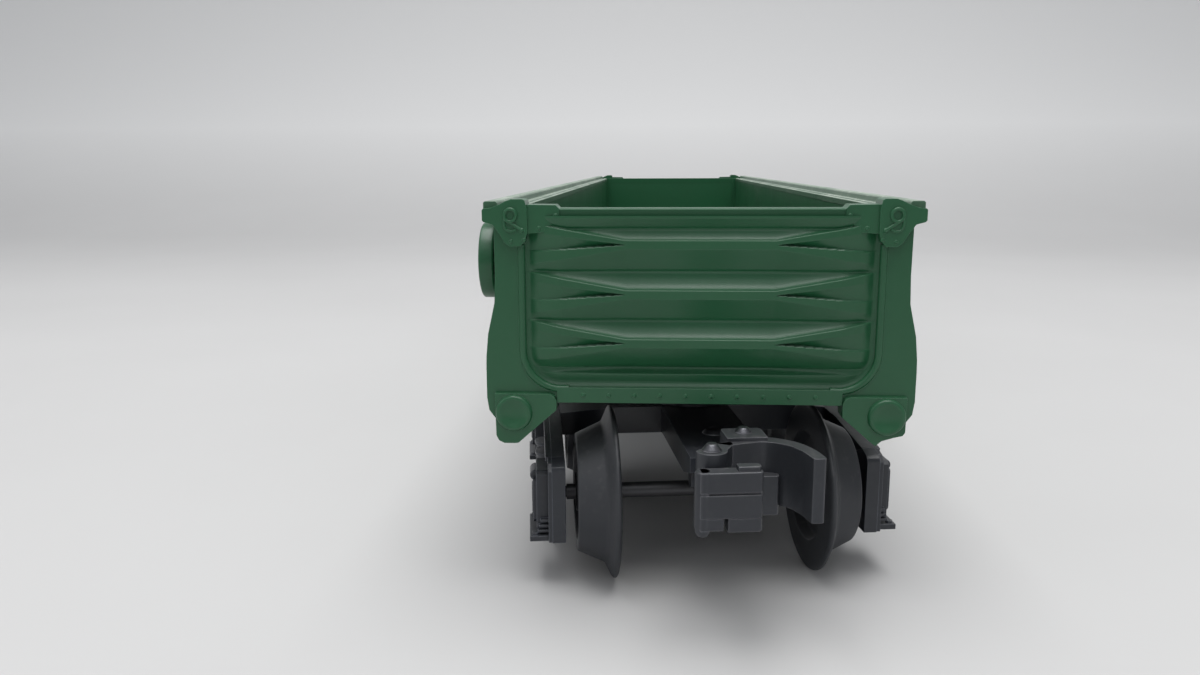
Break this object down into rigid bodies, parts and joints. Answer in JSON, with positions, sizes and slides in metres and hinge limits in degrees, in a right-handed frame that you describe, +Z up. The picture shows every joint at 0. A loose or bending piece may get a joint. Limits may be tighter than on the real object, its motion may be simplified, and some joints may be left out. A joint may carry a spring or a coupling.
{
  "type": "model railway gondola car",
  "caption": "Open-topped model railway freight car on two swivelling trucks with flanged wheels, hinged knuckle couplers and a turning brake wheel.",
  "frame": {"origin": "middle of the car on the table that the wheel flanges stand on", "axes": "+Z up, +Y towards the rear end of the car, +X to the right seen from the front end"},
  "size_m": [0.0583, 0.2713, 0.0538],
  "materials": {
    "green_plastic": "satin moulded",
    "black_casting": "satin black",
    "black_plastic": "satin",
    "dark_steel": "dull",
    "bright_steel": "plain"
  },
  "bodies": {
    "car": {"body_shell": "green_plastic", "underframe": "black_plastic", "centre_sill": "black_plastic", "crossbearers": "black_plastic", "brake_gear": "black_plastic", "front_body_bolster": "black_plastic", "rear_body_bolster": "black_plastic", "frame_screws": "bright_steel", "brake_wheel_pin": "green_plastic", "front_kingpin": "bright_steel", "rear_kingpin": "bright_steel", "front_swivel_washer": "bright_steel", "rear_swivel_washer": "bright_steel"},
    "brake_wheel": {"brake_wheel": "green_plastic"},
    "front_truck": {"front_bolster": "black_casting", "front_left_sideframe": "black_casting", "front_right_sideframe": "black_casting", "front_sideframe_rivets": "dark_steel", "front_coupler_body": "black_casting", "front_shank_rivets": "dark_steel", "front_head_rivet": "dark_steel", "front_knuckle_pin": "dark_steel", "front_knuckle_spring": "bright_steel", "front_lever_pin": "dark_steel"},
    "front_lead_wheelset": {"front_lead_axle": "dark_steel", "front_lead_left_wheel": "black_casting", "front_lead_right_wheel": "black_casting"},
    "front_trail_wheelset": {"front_trail_axle": "dark_steel", "front_trail_left_wheel": "black_casting", "front_trail_right_wheel": "black_casting"},
    "front_knuckle": {"front_knuckle": "black_casting"},
    "front_lever": {"front_uncoupling_lever": "black_casting"},
    "rear_truck": {"rear_bolster": "black_casting", "rear_left_sideframe": "black_casting", "rear_right_sideframe": "black_casting", "rear_sideframe_rivets": "dark_steel", "rear_coupler_body": "black_casting", "rear_shank_rivets": "dark_steel", "rear_head_rivet": "dark_steel", "rear_knuckle_pin": "dark_steel", "rear_knuckle_spring": "bright_steel", "rear_lever_pin": "dark_steel"},
    "rear_lead_wheelset": {"rear_lead_axle": "dark_steel", "rear_lead_left_wheel": "black_casting", "rear_lead_right_wheel": "black_casting"},
    "rear_trail_wheelset": {"rear_trail_axle": "dark_steel", "rear_trail_left_wheel": "black_casting", "rear_trail_right_wheel": "black_casting"},
    "rear_knuckle": {"rear_knuckle": "black_casting"},
    "rear_lever": {"rear_uncoupling_lever": "black_casting"}
  },
  "joints": [
    {"name": "brake_wheel_turn", "type": "hinge", "parent": "car", "child": "brake_wheel", "pos_m": [-0.0294, -0.1103, 0.0451], "axis": [1, 0, 0], "continuous": true},
    {"name": "front_truck_swivel", "type": "hinge", "parent": "car", "child": "front_truck", "pos_m": [0, -0.0918, 0.0215], "axis": [0, 0, 1], "range_deg": [-19.8, 4.2]},
    {"name": "front_lead_roll", "type": "hinge", "parent": "front_truck", "child": "front_lead_wheelset", "pos_m": [0.00244, -0.10963, 0.0122], "axis": [0.9907, 0.1357, 0], "continuous": true},
    {"name": "front_trail_roll", "type": "hinge", "parent": "front_truck", "child": "front_trail_wheelset", "pos_m": [-0.00244, -0.07397, 0.0122], "axis": [0.9907, 0.1357, 0], "continuous": true},
    {"name": "front_knuckle_open", "type": "hinge", "parent": "front_truck", "child": "front_knuckle", "pos_m": [0.00109, -0.13142, 0.0195], "axis": [0, 0, -1], "range_deg": [0, 45]},
    {"name": "front_lever_drop", "type": "hinge", "parent": "front_truck", "child": "front_lever", "pos_m": [0.00309, -0.11439, 0.0152], "axis": [0.9907, 0.1357, 0], "range_deg": [0, 6], "stiffness_Nm_per_rad": 0.003, "springref_deg": -11.46},
    {"name": "rear_truck_swivel", "type": "hinge", "parent": "car", "child": "rear_truck", "pos_m": [0, 0.0918, 0.0215], "axis": [0, 0, 1], "range_deg": [-12, 12]},
    {"name": "rear_lead_roll", "type": "hinge", "parent": "rear_truck", "child": "rear_lead_wheelset", "pos_m": [0, 0.1098, 0.0122], "axis": [-1, 0, 0], "continuous": true},
    {"name": "rear_trail_roll", "type": "hinge", "parent": "rear_truck", "child": "rear_trail_wheelset", "pos_m": [0, 0.0738, 0.0122], "axis": [-1, 0, 0], "continuous": true},
    {"name": "rear_knuckle_open", "type": "hinge", "parent": "rear_truck", "child": "rear_knuckle", "pos_m": [0.0043, 0.1312, 0.0195], "axis": [0, 0, -1], "range_deg": [0, 45]},
    {"name": "rear_lever_drop", "type": "hinge", "parent": "rear_truck", "child": "rear_lever", "pos_m": [0, 0.1146, 0.0152], "axis": [-1, 0, 0], "range_deg": [0, 6], "stiffness_Nm_per_rad": 0.003, "springref_deg": -11.46}
  ]
}
